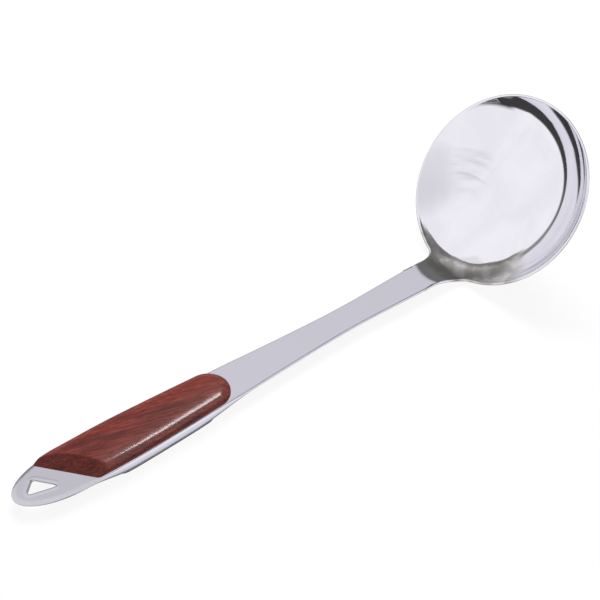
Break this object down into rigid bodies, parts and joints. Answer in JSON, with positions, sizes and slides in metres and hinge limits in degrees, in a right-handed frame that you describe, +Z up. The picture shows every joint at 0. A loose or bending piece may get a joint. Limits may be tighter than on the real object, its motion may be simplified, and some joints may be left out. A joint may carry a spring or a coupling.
{
  "type": "soup ladle",
  "caption": "Steel soup ladle: round shallow mirror-polished bowl, flat narrow shank, glossy wood-grain grip with a slanted end and a bare tab with a hanging hole.",
  "frame": {"origin": "middle of the footprint's bounding box, on the surface that the ladle lies on", "axes": "+X from the hanging tab to the bowl, +Y across the handle, +Z up out of the surface, the side the bowl is open to"},
  "size_m": [0.2966, 0.092, 0.0701],
  "materials": {
    "polished_steel": "mirror polished stainless steel",
    "satin_steel": "fine satin stainless steel",
    "wood_grain": "red-brown wood grain under a gloss lacquer",
    "dark_plastic": "fine moulded texture",
    "zinc_steel": "zinc plated",
    "insert_brass": "turned"
  },
  "bodies": {
    "root": {"bowl": "polished_steel", "handle": "satin_steel", "grip_scale": "wood_grain", "back_cover": "dark_plastic", "screw_1": "zinc_steel", "screw_2": "zinc_steel", "threaded_insert_1": "insert_brass", "threaded_insert_2": "insert_brass"}
  },
  "joints": []
}
